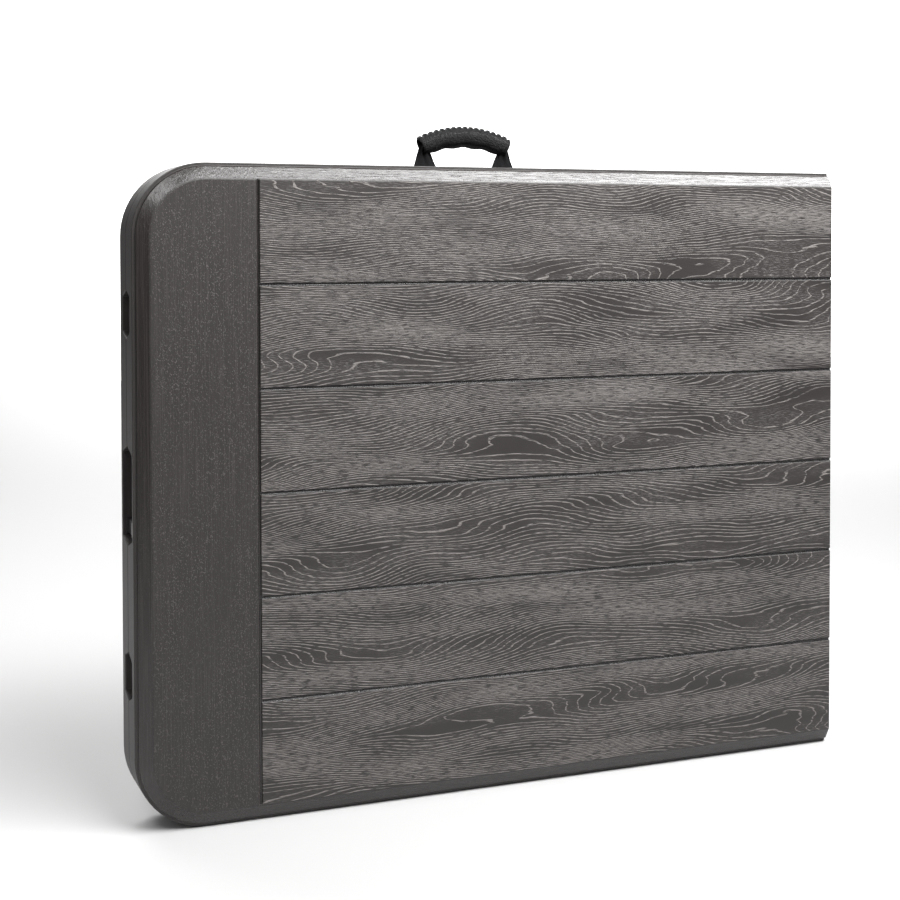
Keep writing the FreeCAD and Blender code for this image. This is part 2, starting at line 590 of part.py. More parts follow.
def handle():
    """Carrying handle: round grip on two webbing straps, whose tails are screwed to the front high rail."""
    grip = rod("grip_rod", "x", (f"{HANDLE_X} - grip_length/2", f"{HANDLE_X} + grip_length/2"),
               STRAP_MID, GRIP_Z, "grip_radius")
    node("handle_grip", "front", grip)
    plate_v = f"({STRAP_V} - anchor_thick)"
    straps, tails, plates, screws = [], [], [], []
    for number, middle in enumerate(STRAP_PLACES):
        wide = (f"({middle} - strap_width/2)", f"({middle} + strap_width/2)")
        body = doc.addObject("PartDesign::Body", f"strap_body{number}")
        outline = sketch(body, f"strap_outline{number}", "XZ_Plane", STRAP_V)
        loop(outline, [(wide[0], STRAP_BEND), (wide[1], STRAP_BEND),
                       (f"{middle} + strap_top_width/2", GRIP_Z), (f"{middle} - strap_top_width/2", GRIP_Z)])
        feature(body, "Pad", f"strap_web{number}", outline, "strap_thick")
        bend = rod(f"strap_bend{number}", "x", wide, STRAP_MID, STRAP_BEND, "strap_thick/2")
        cope = rod(f"strap_cope{number}", "x", (f"{HANDLE_X} - grip_length", f"{HANDLE_X} + grip_length"),
                   STRAP_MID, GRIP_Z, "grip_radius")
        straps.append(cut(f"strap{number}", fuse(f"strap{number}", body, bend), cope))
        web = block(f"tail{number}", wide, (STRAP_V, RAIL_FACE),
                    ("(table_width - rim_width - strap_tail + rail_inset)", "(table_width - part_gap)"))
        plate = block(f"anchor{number}", (f"{middle} - anchor_width/2", f"{middle} + anchor_width/2"),
                      (plate_v, STRAP_V), (f"{ANCHOR_Z} - anchor_height/2", f"{ANCHOR_Z} + anchor_height/2"))
        through = [rod(f"{name}{number}", "v", middle, (plate_v + " - 1", RAIL_FACE + " + 1"), ANCHOR_Z,
                       "screw_radius") for name in ("tail_hole", "anchor_hole")]
        tails.append(cut(f"strap_tail{number}", web, through[0]))
        plates.append(cut(f"strap_anchor{number}", plate, through[1]))
        screws.append(screw(f"anchor_screw{number}", middle, ANCHOR_Z, plate_v, f"({RAIL_FACE} + anchor_bite)"))
    node("handle_straps", "front", *straps)
    node("strap_tails", "front", *tails)
    node("strap_anchor_plates", "front", *plates)
    node("strap_anchor_screws", "front", *screws)


def shut_catch():
    """Friction catch in the middle end notch: sprung jaws on the front half, a stud on the back half."""
    x_mid = f"({FREE_END} + rim_width/2)"
    jaw_in = "(stud_thick/2 + clip_room)"
    floor = "(cavity_depth - clip_plate)"
    z = (f"({MID_Z} - clip_offset - clip_width/2)", f"({MID_Z} - clip_offset + clip_width/2)")
    base = block("clip_base", (f"{x_mid} - {jaw_in} - clip_jaw", f"{x_mid} + {jaw_in} + clip_jaw"),
                 (floor, "cavity_depth"), z)
    jaws = []
    for number, way in enumerate((-1, 1)):
        near = f"({x_mid} + {way}*{jaw_in})"
        far = f"({x_mid} + {way}*({jaw_in} + clip_jaw))"
        span = (near, far) if way > 0 else (far, near)
        jaws.append(block(f"clip_jaw{number}", span, (f"{floor} - clip_reach", floor), z))
    node("shut_clip", "front", fuse("shut_clip", base, *jaws))
    z_back = (f"({MID_Z} + clip_offset - clip_width/2)", f"({MID_Z} + clip_offset + clip_width/2)")
    foot = block("stud_base", (f"{x_mid} - {jaw_in} - clip_jaw", f"{x_mid} + {jaw_in} + clip_jaw"),
                 (floor, "cavity_depth"), z_back)
    post = block("stud_post", (f"{x_mid} - stud_thick/2", f"{x_mid} + stud_thick/2"),
                 ("-stud_past", floor), z_back)
    node("shut_stud", "back", fuse("shut_stud", foot, post))


for half_side in ("front", "back"):
    top_panel(half_side)
    rails(half_side)
    leaves(half_side)
    legs(half_side)
    stay(half_side)
hinge_pins()
handle()
shut_catch()
doc.recompute()

for obj in doc.Objects:
    if "Invalid" in obj.State or "Error" in obj.State:
        raise RuntimeError(f"{obj.Label} failed: {obj.State}")
for label, obj in NODES.items():
    if obj.Shape.isNull() or not obj.Shape.isValid() or not obj.Shape.Solids:
        raise RuntimeError(f"{label} has no valid solid")

os.makedirs("parts", exist_ok=True)
for label, obj in NODES.items():
    obj.Shape.exportStep(f"parts/{label}.step")
print(len(NODES), "nodes")
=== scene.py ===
import json
import math

import bmesh
import bpy
import numpy as np
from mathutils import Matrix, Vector


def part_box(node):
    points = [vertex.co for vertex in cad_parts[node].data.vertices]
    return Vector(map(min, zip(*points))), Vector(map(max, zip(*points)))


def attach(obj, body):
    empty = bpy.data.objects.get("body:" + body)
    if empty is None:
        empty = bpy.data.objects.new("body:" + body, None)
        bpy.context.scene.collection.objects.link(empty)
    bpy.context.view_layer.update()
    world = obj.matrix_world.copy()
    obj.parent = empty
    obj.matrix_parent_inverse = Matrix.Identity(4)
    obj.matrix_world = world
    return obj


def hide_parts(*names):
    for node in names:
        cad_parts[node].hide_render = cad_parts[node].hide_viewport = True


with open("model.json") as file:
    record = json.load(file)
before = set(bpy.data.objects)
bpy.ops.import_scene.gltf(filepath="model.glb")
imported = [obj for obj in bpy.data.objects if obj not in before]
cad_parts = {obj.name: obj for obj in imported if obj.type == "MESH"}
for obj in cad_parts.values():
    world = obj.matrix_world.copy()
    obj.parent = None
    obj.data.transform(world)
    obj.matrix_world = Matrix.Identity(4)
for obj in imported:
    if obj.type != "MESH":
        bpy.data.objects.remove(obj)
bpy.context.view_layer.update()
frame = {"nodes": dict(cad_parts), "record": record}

bl_info = {
    "name": "Folding Table Finish",
    "version": (1, 0, 0),
    "blender": (4, 5, 0),
    "location": "3D View > Sidebar > Folding Table",
    "description": "Moulded skin, carrying handle and finishes of a fold-in-half plank table",
    "category": "Object",
}

WIDTH = round(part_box("front_top_panel")[1][2], 6)         # across the table
HALF_DEPTH = round(-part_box("front_top_panel")[0][1], 6)   # from the parting plane to the table's surface
BOARD_PLATEAU = HALF_DEPTH - 0.0004                       # flat part of the boards
SHOULDER = HALF_DEPTH - 0.0012                            # where the shoulder starts to fall away


# ---------------------------------------------------------------- sizes and colours

def length(name, description, default):
    """A length property in metres."""
    return bpy.props.FloatProperty(name=name, description=description, default=default,
                                   unit="LENGTH", precision=4)


def colour(name, description, default):
    """A colour property, linear red, green and blue."""
    return bpy.props.FloatVectorProperty(name=name, description=description, default=default,
                                         subtype="COLOR", size=3, min=0, max=1)


class PanelLook(bpy.types.PropertyGroup):
    edge_rounding: length("Edge rounding", "Radius that softens the moulding's edges", 0.0012)
    ring_spacing: length("Ring spacing", "Distance between two lines of the embossed grain", 0.0032)
    grain_height: length("Grain height", "Height of the embossed grain", 0.0009)
    dark: colour("Plastic", "Smooth plastic between the grain lines", (0.0195, 0.0164, 0.0155))
    light: colour("Raised grain", "Plastic on the raised lines of the grain", (0.198, 0.179, 0.17))
    board_start: length("First board", "Height of the lowest board's edge", 0.019)
    board_pitch: length("Board pitch", "Width of a board", 0.117)
    end_seam: length("End seam", "Place of the seam of the end board", -0.31525)


class HandleLook(bpy.types.PropertyGroup):
    grip_sag: length("Grip drop", "How far the ends of the grip hang below its middle", 0.0125)
    grip_radius: length("Grip radius", "Radius of the rubber wrap", 0.0104)
    wrap: length("Wrap thickness", "Thickness of the rubber wrap", 0.0026)
    tooth_pitch: length("Tooth pitch", "Distance between two ribs of the grip", 0.0068)
    web: length("Webbing thickness", "Thickness of the webbing", 0.0017)
    rubber: colour("Rubber", "Rubber of the grip", (0.0065, 0.0065, 0.007))
    thread: colour("Webbing", "Yarn of the webbing", (0.0062, 0.0062, 0.0068))


class MetalLook(bpy.types.PropertyGroup):
    rail: colour("Rails", "Powder coat of the side rails", (0.105, 0.104, 0.108))
    leg: colour("Legs", "Powder coat of the leg frames", (0.082, 0.082, 0.086))
    zinc: colour("Zinc", "Zinc plate of the small parts", (0.6, 0.6, 0.58))
    plastic: colour("Fittings", "Black plastic of feet, collars and caps", (0.02, 0.02, 0.021))


class StageLook(bpy.types.PropertyGroup):
    camera_place: bpy.props.FloatVectorProperty(
        name="Camera", description="Place of the camera", size=3, unit="LENGTH",
        default=(-0.78051, -1.77555, 0.64625))
    camera_turn: bpy.props.FloatVectorProperty(
        name="Camera turn", description="Turn of the camera about X, Y and Z", size=3, unit="ROTATION",
        default=(math.radians(88.3601), math.radians(0.0983), math.radians(-21.8767)))
    lens: bpy.props.FloatProperty(
        name="Lens", description="Focal length in millimetres", default=63.93)
    shift: bpy.props.FloatProperty(
        name="Rise", description="Upward shift of the camera", default=-0.1752)
    floor: colour("Floor", "Paint of the floor", (0.6, 0.6, 0.6))


class FoldingTableLook(bpy.types.PropertyGroup):
    panel: bpy.props.PointerProperty(type=PanelLook)
    handle: bpy.props.PointerProperty(type=HandleLook)
    metal: bpy.props.PointerProperty(type=MetalLook)
    stage: bpy.props.PointerProperty(type=StageLook)


# ---------------------------------------------------------------- shader maths

class Signal:
    """A number carried between shader nodes. Arithmetic on it adds Math nodes."""

    def __init__(self, shader, socket):
        self.shader = shader
        self.socket = socket

    def maths(self, operation, *values):
        """Result of a Math node."""
        return self.shader.node("Math", {"operation": operation}, dict(enumerate(values)))

    def __add__(self, other):
        return self.maths("ADD", self, other)

    def __radd__(self, other):
        return self.maths("ADD", other, self)

    def __sub__(self, other):
        return self.maths("SUBTRACT", self, other)

    def __rsub__(self, other):
        return self.maths("SUBTRACT", other, self)

    def __mul__(self, other):
        return self.maths("MULTIPLY", self, other)

    def __rmul__(self, other):
        return self.maths("MULTIPLY", other, self)

    def __truediv__(self, other):
        return self.maths("DIVIDE", self, other)

    def __gt__(self, other):
        return self.maths("GREATER_THAN", self, other)

    def __lt__(self, other):
        return self.maths("LESS_THAN", self, other)

    def __abs__(self):
        return self.maths("ABSOLUTE", self)

    def floor(self):
        return self.maths("FLOOR", self)

    def root(self):
        return self.maths("SQRT", self)

    def sine(self):
        return self.maths("SINE", self)


class Finish:
    """A procedural material: its tree, its coordinates and its surface."""

    def __init__(self, name):
        self.material = bpy.data.materials.new(name)
        self.material.use_nodes = True
        self.tree = self.material.node_tree
        self.tree.nodes.clear()
        self.place = self.node("TexCoord", output="Object")

    def node(self, kind, settings=None, values=None, output=0):
        """Output of a new node of a kind, after its settings are made and its sockets are filled."""
        made = self.tree.nodes.new("ShaderNode" + kind)
        for name, value in (settings or {}).items():
            setattr(made, name, value)
        for name, value in (values or {}).items():
            if isinstance(value, Signal):
                self.tree.links.new(value.socket, made.inputs[name])
            else:
                made.inputs[name].default_value = value
        return Signal(self, made.outputs[output]) if made.outputs else None

    def axes(self, place):
        """The three parts of a vector, each as a signal."""
        first = self.node("SeparateXYZ", values={0: place})
        return [Signal(self, part) for part in first.socket.node.outputs]

    def vector(self, x=0.0, y=0.0, z=0.0):
        """Vector put together from three signals or numbers."""
        return self.node("CombineXYZ", values={0: x, 1: y, 2: z})

    def noise(self, place, scale=1.0, detail=2.0, rough=0.5, turn=0.0):
        """Soft noise between 0 and 1, about 0.5 on average."""
        return self.node("TexNoise", values={"Vector": place, "Scale": scale, "Detail": detail,
                                             "Roughness": rough, "Distortion": turn})

    def ease(self, value, low, high, start=0.0, stop=1.0):
        """Smooth step of a signal from start at low to stop at high."""
        return self.node("MapRange", {"interpolation_type": "SMOOTHSTEP"},
                         {"Value": value, "From Min": low, "From Max": high,
                          "To Min": start, "To Max": stop})

    def blend(self, factor, first, second):
        """Mix of two colours, each a signal or red, green and blue."""
        full = [c if isinstance(c, Signal) else (*c, 1.0) for c in (first, second)]
        return self.node("Mix", {"data_type": "RGBA"}, {0: factor, 6: full[0], 7: full[1]}, output=2)

    def bump(self, height, strength, distance, under=None):
        """Normal that follows a height in metres."""
        values = {"Height": height, "Strength": strength, "Distance": distance}
        if under is not None:
            values["Normal"] = under
        return self.node("Bump", values=values)

    def surface(self, **values):
        """Close the tree with a Principled surface."""
        values = {name.replace("_", " "): value for name, value in values.items()}
        values = {name: (*value, 1.0) if isinstance(value, (tuple, list)) and len(value) == 3 else value
                  for name, value in values.items()}
        self.node("OutputMaterial", values={"Surface": self.node("BsdfPrincipled", values=values)})
        return self.material


def plank_plastic(name, look, flipped):
    """Grained plastic of one half. Grain lines are the level lines of the height across the board
    plus slow noise, so they run along the boards and close to loops where the noise is steep. The
    distance to a line is the level's distance divided by its slope, which keeps the lines one width."""
    finish = Finish(name)
    x, y, z = finish.axes(finish.place)
    up = WIDTH - z if flipped else z
    depth = abs(y)
    board = (up - look.board_start) / look.board_pitch
    number = board.floor()
    on_end = x < look.end_seam
    on_boards = (1.0 - on_end) * (up > look.board_start) * (up < WIDTH - look.board_start)
    on_face = depth > HALF_DEPTH - 0.0006

    # level lines along the boards
    along = x + number * 3.17

    def level_at(run, rise):
        """Number of the grain line at a place: height over the spacing, plus slow noise."""
        slow = finish.noise(finish.vector(run * 3.2, number * 5.3, rise * 14.0), detail=1.0, rough=0.4)
        return rise / look.ring_spacing + slow * 36.0

    level = level_at(along, up)
    step = 0.0005
    slope_x = (level_at(along + step, up) - level) * (1 / step)
    slope_z = (level_at(along, up + step) - level) * (1 / step)
    steep = (slope_x * slope_x + slope_z * slope_z).root()
    steady = finish.noise(finish.vector(along * 11.0, number * 2.1, up * 60.0), detail=2.0)
    bent = level + steady * 2.2
    part = bent - bent.floor()
    apart = abs(part - 0.5) / (steep + 60.0)
    streak = finish.noise(finish.vector(along * 70.0, number, up * 620.0), detail=2.0, rough=0.6)
    patch = finish.noise(finish.vector(along * 7.0, number * 9.0, up * 34.0), detail=2.0)
    broken = finish.ease(streak, 0.36, 0.56)
    lines = finish.ease(apart, 0.00025, 0.00062, 1.0, 0.0) * broken
    lines = lines * finish.ease(patch, 0.28, 0.42, 0.3, 1.0)
    pores = finish.noise(finish.vector(along * 130.0, number, up * 1100.0), detail=1.0)
    fine = finish.ease(pores, 0.5, 0.7) * finish.ease(patch, 0.4, 0.6)

    # the end board and the rim have upright streaks and specks, and the long edges streaks along them
    on_long_edge = (1.0 - on_end) * (1.0 - on_boards)
    upright = finish.noise(finish.vector(x * (620.0 - on_long_edge * 590.0),
                                         y * (620.0 + on_long_edge * 500.0),
                                         up * (9.0 + on_long_edge * 900.0)), detail=2.0, rough=0.6)
    speck = finish.noise(finish.vector(x * 900.0, y * 900.0, up * 620.0), detail=1.0)
    specks = finish.ease(speck, 0.59, 0.7)
    cloud = finish.noise(finish.vector(x * 26.0, y * 26.0, up * 8.0), detail=2.0)
    slanted = finish.ease(depth, SHOULDER, BOARD_PLATEAU, 0.25, 1.0)
    upright_lines = finish.ease(upright, 0.45, 0.7) * 0.2
    specks = specks * (1.0 - on_long_edge * 0.8)
    upright_lines = upright_lines + specks * slanted * finish.ease(cloud, 0.3, 0.6, 0.3, 0.9)

    boards = on_boards * on_face
    relief = boards * (lines + fine * 0.35) + (1.0 - boards) * upright_lines * 0.6
    tone = boards * (lines * 0.8 + fine * 0.2 + finish.ease(patch, 0.3, 0.7, 0.0, 0.06))
    tone = tone + (1.0 - boards) * upright_lines * 0.32
    # painted shade: the plastic in the grooves between the boards is darkened to 0.45 of its colour,
    # standing for the shade that falls in these recesses
    painted_groove_shade = (depth > HALF_DEPTH - 0.0026) * (depth < HALF_DEPTH - 0.0008) * on_boards
    dark = finish.blend(painted_groove_shade, look.dark, tuple(c * 0.45 for c in look.dark))
    # the shoulder is polished by handling, and the flat boards and the rim are dull
    flat = finish.ease(depth, SHOULDER, BOARD_PLATEAU)
    rim = finish.ease(depth, HALF_DEPTH - 0.011, HALF_DEPTH - 0.009, 1.0, 0.0)
    rough = 0.25 + flat * 0.25 + rim * 0.24 + tone * 0.12
    return finish.surface(
        Base_Color=finish.blend(tone, dark, look.light), Roughness=rough,
        Normal=finish.bump(relief, 0.75, look.grain_height), Specular_IOR_Level=0.55)


def powder_coat(name, paint):
    """Sprayed steel: fine orange peel and a slow change of gloss."""
    finish = Finish(name)
    peel = finish.noise(finish.place, 900.0, 2.0)
    worn = finish.noise(finish.place, 35.0, 4.0, 0.6)
    tone = finish.ease(worn, 0.35, 0.7, 0.0, 0.45)
    return finish.surface(
        Base_Color=finish.blend(tone, tuple(paint), tuple(min(1.0, c * 1.35) for c in paint)),
        Roughness=finish.ease(worn, 0.3, 0.7, 0.38, 0.55), Metallic=0.0,
        Normal=finish.bump(peel, 0.5, 0.0002))


def zinc_plate(name, paint):
    """Zinc plate: spangled grey metal with dull patches."""
    finish = Finish(name)
    spangle = finish.noise(finish.place, 420.0, 3.0, 0.7)
    dull = finish.noise(finish.place, 60.0, 3.0)
    return finish.surface(
        Base_Color=finish.blend(finish.ease(dull, 0.35, 0.7), tuple(paint),
                                tuple(c * 0.72 for c in paint)),
        Metallic=1.0, Roughness=finish.ease(spangle, 0.3, 0.7, 0.24, 0.46),
        Normal=finish.bump(spangle, 0.25, 0.0001))


def moulded_fitting(name, paint):
    """Black moulded plastic with a fine spark-eroded texture and scuffs."""
    finish = Finish(name)
    grit = finish.noise(finish.place, 1400.0, 2.0)
    scuff = finish.noise(finish.place, 120.0, 5.0, 0.7)
    return finish.surface(
        Base_Color=finish.blend(finish.ease(scuff, 0.52, 0.75, 0.0, 0.6), tuple(paint),
                                tuple(c * 2.4 for c in paint)),
        Roughness=finish.ease(scuff, 0.3, 0.7, 0.44, 0.6),
        Normal=finish.bump(grit, 0.4, 0.00015))


def grip_rubber(name, paint):
    """Matt rubber with pitted skin and dusty patches."""
    finish = Finish(name)
    pits = finish.noise(finish.place, 480.0, 2.0, 0.6)
    pits = finish.ease(pits, 0.42, 0.6, 1.0, 0.0)
    dust = finish.noise(finish.place, 240.0, 4.0, 0.7)
    return finish.surface(
        Base_Color=finish.blend(finish.ease(dust, 0.45, 0.75, 0.0, 0.5), tuple(paint),
                                tuple(c * 2.6 for c in paint)),
        Roughness=finish.ease(dust, 0.3, 0.7, 0.42, 0.6), Specular_IOR_Level=0.22,
        Normal=finish.bump(pits, 0.9, 0.0009))


YARN_PITCH = 0.0016   # across the webbing
PICK_PITCH = 0.0012   # along the webbing


def woven_web(name, thread):
    """Plain-woven webbing in the piece's own UV map, in metres: ribs across, yarns along. Its colour holds
    painted shade in the hollows between the yarns and a painted highlight on their crowns.
    """
    finish = Finish(name)
    flat = finish.node("UVMap", {"uv_map": "weave"})
    across, along, _ = finish.axes(flat)
    yarn = abs((across * (math.pi / YARN_PITCH)).sine())
    pick = abs((along * (math.pi / PICK_PITCH) + across * 1900.0).sine())
    fuzz = finish.noise(finish.place, 1500.0, 3.0, 0.7)
    height = yarn * 0.5 + pick * 0.5 + fuzz * 0.3
    # painted shade and highlight: the colour falls to 0.45 of the yarn's in the hollows of the weave and
    # rises to 1.9 of it on the raised yarns, with random fuzz
    tone = finish.ease(height, 0.3, 1.2, 0.0, 1.0)
    return finish.surface(
        Base_Color=finish.blend(tone, tuple(c * 0.45 for c in thread), tuple(c * 1.9 for c in thread)),
        Roughness=finish.ease(fuzz, 0.3, 0.7, 0.72, 0.9),
        Normal=finish.bump(height, 0.8, 0.0005), Specular_IOR_Level=0.12)


# ---------------------------------------------------------------- surfaces

def grid_piece(name, points, material, wall=0.0, around=False, uv=None):
    """Object from a grid of points: rows by columns, faces between neighbours.
    around joins the last column to the first, and wall gives the sheet a thickness both ways."""
    rows, columns = points.shape[:2]
    index = np.arange(rows * columns).reshape(rows, columns)
    right = np.roll(index, -1, axis=1) if around else index[:, 1:]
    left = index if around else index[:, :-1]
    faces = np.stack([left[:-1], right[:-1], right[1:], left[1:]], axis=-1).reshape(-1, 4)
    mesh = bpy.data.meshes.new(name)
    mesh.from_pydata(points.reshape(-1, 3).tolist(), [], faces.tolist())
    if uv is not None:
        layer = mesh.uv_layers.new(name="weave")
        corners = uv.reshape(-1, 2)[faces.reshape(-1)]
        layer.data.foreach_set("uv", corners.astype(np.float32).reshape(-1))
    mesh.polygons.foreach_set("use_smooth", np.ones(len(mesh.polygons), bool))
    mesh.update()
    piece = bpy.data.objects.new(name, mesh)
    bpy.context.scene.collection.objects.link(piece)
    piece.data.materials.append(material)
    if wall:
        solid = piece.modifiers.new("wall", "SOLIDIFY")
        solid.thickness = wall
        solid.offset = 0.0
        solid.use_even_offset = True
    return piece


def softened_copy(name, source, material, rounding, angle):
    """Copy of a CAD node's mesh, merged to one surface, with its sharp edges rounded."""
    shape = bmesh.new()
    shape.from_mesh(source.data)
    bmesh.ops.remove_doubles(shape, verts=shape.verts, dist=1e-5)
    bmesh.ops.dissolve_limit(shape, angle_limit=math.radians(0.4), verts=shape.verts, edges=shape.edges)
    mesh = bpy.data.meshes.new(name)
    shape.to_mesh(mesh)
    shape.free()
    mesh.polygons.foreach_set("use_smooth", np.ones(len(mesh.polygons), bool))
    mesh.update()
    piece = bpy.data.objects.new(name, mesh)
    bpy.context.scene.collection.objects.link(piece)
    piece.data.materials.append(material)
    bevel = piece.modifiers.new("rounding", "BEVEL")
    bevel.width = rounding
    bevel.segments = 2
    bevel.limit_method = "ANGLE"
    bevel.angle_limit = math.radians(angle)
    bevel.use_clamp_overlap = False
    bevel.miter_outer = "MITER_ARC"
    level = piece.modifiers.new("flat_faces", "WEIGHTED_NORMAL")
    level.mode = "FACE_AREA"
    level.weight = 100
    return piece


def paint(nodes, material):
    """Give CAD nodes a finish through their material slots."""
    for node in nodes:
        piece = frame["nodes"][node]
        if piece.material_slots:
            for held in piece.material_slots:
                held.material = material
        else:
            piece.data.materials.append(material)


def in_slot(slot):
    """Names of the nodes that the record gives one material slot."""
    return [part["node"] for part in frame["record"]["subparts"] if part["material_slot"] == slot]


# ---------------------------------------------------------------- operators

class FOLDTABLE_OT_top_panels(bpy.types.Operator):
    """Rounded, grained skins of the two moulded halves"""
    bl_idname = "foldtable.top_panels"
    bl_label = "Top panels"

    def execute(self, context):
        look = context.scene.folding_table.panel
        for side in ("front", "back"):
            plastic = plank_plastic(side + "_plank_plastic", look, side == "back")
            node = side + "_top_panel"
            skin = softened_copy(side + "_panel_skin", frame["nodes"][node], plastic,
                                 look.edge_rounding, 18)
            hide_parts(node)
            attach(skin, side + "_half")
        return {"FINISHED"}


class FOLDTABLE_OT_grip(bpy.types.Operator):
    """Rubber wrap of the carrying handle"""
    bl_idname = "foldtable.grip"
    bl_label = "Grip"

    def execute(self, context):
        look = context.scene.folding_table.handle
        rubber = grip_rubber("handle_rubber", look.rubber)
        wrap = grid_piece("grip_wrap", wrap_points(look), rubber, wall=look.wrap)
        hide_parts("handle_grip")
        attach(wrap, "handle")
        return {"FINISHED"}


def grip_line(look, share):
    """Centre of the grip at shares from 0 to 1 of its length: an arc that drops towards both ends."""
    low, high = (np.array(corner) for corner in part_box("handle_grip"))
    inset = 0.003   # the end rings lean outwards past the line
    x = low[0] + inset + (high[0] - low[0] - 2 * inset) * share
    top = high[2] - look.grip_radius - 0.0022   # room for the teeth
    z = top - look.grip_sag * (2 * share - 1) ** 2
    y = np.full_like(x, (low[1] + high[1]) / 2)
    return np.stack([x, y, z], axis=-1)


def wrap_points(look):
    """Open tube of rings that stand square to the grip's arc. The radius is the grip's, less a little at
    the ends, plus short teeth along the top and shallow finger waves below. The slit is at the bottom,
    and its lips part."""
    share = np.linspace(0, 1, 150)[:, None]
    turn = np.linspace(-math.pi * 0.985, math.pi * 0.985, 72)[None, :]
    line = grip_line(look, share[:, 0])[:, None, :]
    span = line[-1, 0, 0] - line[0, 0, 0]
    run = share * span
    top = np.exp(-(turn / 0.55) ** 2)
    teeth = 0.0023 * top * (0.5 + 0.5 * np.tanh(4 * np.sin(2 * math.pi * run / look.tooth_pitch) - 1))
    finger = 0.0007 * np.clip(-np.cos(turn), 0, 1) * np.sin(2 * math.pi * share * 4 - math.pi / 2)
    end = 1 - np.exp(-run / 0.0016) * 0.12 - np.exp(-(span - run) / 0.0016) * 0.12
    lip = 0.0035 * np.clip(np.abs(turn) / math.pi - 0.88, 0, 1) / 0.105 * np.sin(math.pi * share) ** 0.6
    radius = (look.grip_radius - look.wrap / 2) * end + teeth * 0.9 + finger
    lean = np.arctan2(4 * look.grip_sag * (1 - 2 * share), span)
    rise = radius * np.cos(turn) - lip
    x = line[..., 0] - rise * np.sin(lean)
    y = line[..., 1] + radius * np.sin(turn) * 0.94 + np.sign(turn) * lip * 0.35
    z = line[..., 2] + rise * np.cos(lean)
    return np.stack([x, y, z], axis=-1)


class FOLDTABLE_OT_straps(bpy.types.Operator):
    """Webbing straps of the handle and the tails that hold them"""
    bl_idname = "foldtable.straps"
    bl_label = "Straps"

    def execute(self, context):
        look = context.scene.folding_table.handle
        web = woven_web("handle_webbing", look.thread)
        low, high = (np.array(corner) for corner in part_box("handle_straps"))
        centres = low[0] + STRAP_HALF, high[0] - STRAP_HALF
        straps = [strap_points(look, centre, way) for centre, way in zip(centres, (1, -1))]
        for number, (points, flat) in enumerate(straps):
            strap = grid_piece(f"handle_strap_{number}", points, web, wall=look.web, uv=flat)
            if number == 0:
                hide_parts("handle_straps")
            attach(strap, "handle")
        for number, centre in enumerate(centres):
            points, flat = tail_points(centre)
            tail = grid_piece(f"strap_tail_{number}", points, web, wall=look.web, uv=flat)
            if number == 0:
                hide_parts("strap_tails")
            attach(tail, "front_half")
        return {"FINISHED"}


STRAP_HALF = 0.0140    # half the strap's width at its slot
GATHER_HALF = 0.0050   # half its width at the grip


def strap_points(look, centre, way):
    """Sheet that leaves the slot flat and 28 mm wide and narrows evenly to 10 mm on a straight line to
    the mouth of the grip, with folds that deepen as it gathers, then runs along inside the grip."""
    low, high = (np.array(corner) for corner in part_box("handle_straps"))
    foot = np.array([centre, (low[1] + high[1]) / 2, low[2] + 0.0009])
    share = np.linspace(0, 1, 90)[:, None]
    side = np.linspace(-1, 1, 48)[None, :]
    mouth, inner = grip_line(look, np.array([0.03, 0.2]) if way > 0 else np.array([0.97, 0.8]))
    mouth, inner = mouth - [0, 0, 0.0025], inner - [0, 0, 0.001]
    knots = np.array([foot, foot + (mouth - foot) * 0.5, foot + (mouth - foot) * 0.95, mouth, mouth,
                      inner])
    line = bezier(knots, share[:, 0])[:, None, :]
    step = np.gradient(line[:, 0, :], axis=0)
    step /= np.linalg.norm(step, axis=1)[:, None]
    # the sheet leaves the slot level, and is square to its line from halfway up
    height = np.clip((line[..., 2] - foot[2]) / (mouth[2] - foot[2]), 0, 1)
    square = smooth(height / 0.6)
    across = np.stack([step[:, 2:] * square + 1 - square, 0 * square, -step[:, :1] * square], axis=-1)
    across /= np.linalg.norm(across, axis=-1)[..., None]
    half = STRAP_HALF - (STRAP_HALF - GATHER_HALF) * height
    fold = height * 0.0024 * np.cos(side * math.pi * 2.5 + 0.4 * way) * (1 - 0.25 * side ** 2)
    points = line + across * (half * side)[..., None]
    points[..., 1] += fold
    flat = np.stack(np.broadcast_arrays(side * STRAP_HALF, share * 0.06), axis=-1)
    return points, flat


def tail_points(centre):
    """Flat tail that hangs from the slot over the rail, with a slight wave of its free end."""
    low, high = (np.array(corner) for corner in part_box("strap_tails"))
    mid = (low[1] + high[1]) / 2
    share = np.linspace(0, 1, 30)[:, None]
    side = np.linspace(-1, 1, 24)[None, :]
    x = centre + side * 0.0138 + 0 * share
    z = low[2] + 0.0005 + share * (high[2] - low[2] - 0.001) + 0 * side
    y = mid + 0.0001 * np.sin(side * 7 + share * 5)
    flat = np.stack(np.broadcast_arrays(side * STRAP_HALF, share * 0.044), axis=-1)
    return np.stack([x, y, z], axis=-1), flat


def smooth(value):
    """Step from 0 to 1 with level ends."""
    value = np.clip(value, 0, 1)
    return value * value * (3 - 2 * value)


def bezier(knots, share):
    """Bezier curve of any order: the sum of the knots, each weighted by its Bernstein polynomial."""
    order = len(knots) - 1
    share = np.asarray(share)[:, None]
    weights = [math.comb(order, k) * share ** k * (1 - share) ** (order - k) for k in range(order + 1)]
    return np.sum(np.stack(weights) * knots[:, None, :], axis=0)


class FOLDTABLE_OT_steelwork(bpy.types.Operator):
    """Powder coat of the rails and leg frames"""
    bl_idname = "foldtable.steelwork"
    bl_label = "Rails and legs"

    def execute(self, context):
        look = context.scene.folding_table.metal
        paint(in_slot("frame_steel"), powder_coat("rail_coat", look.rail))
        paint(in_slot("leg_steel"), powder_coat("leg_coat", look.leg))
        return {"FINISHED"}


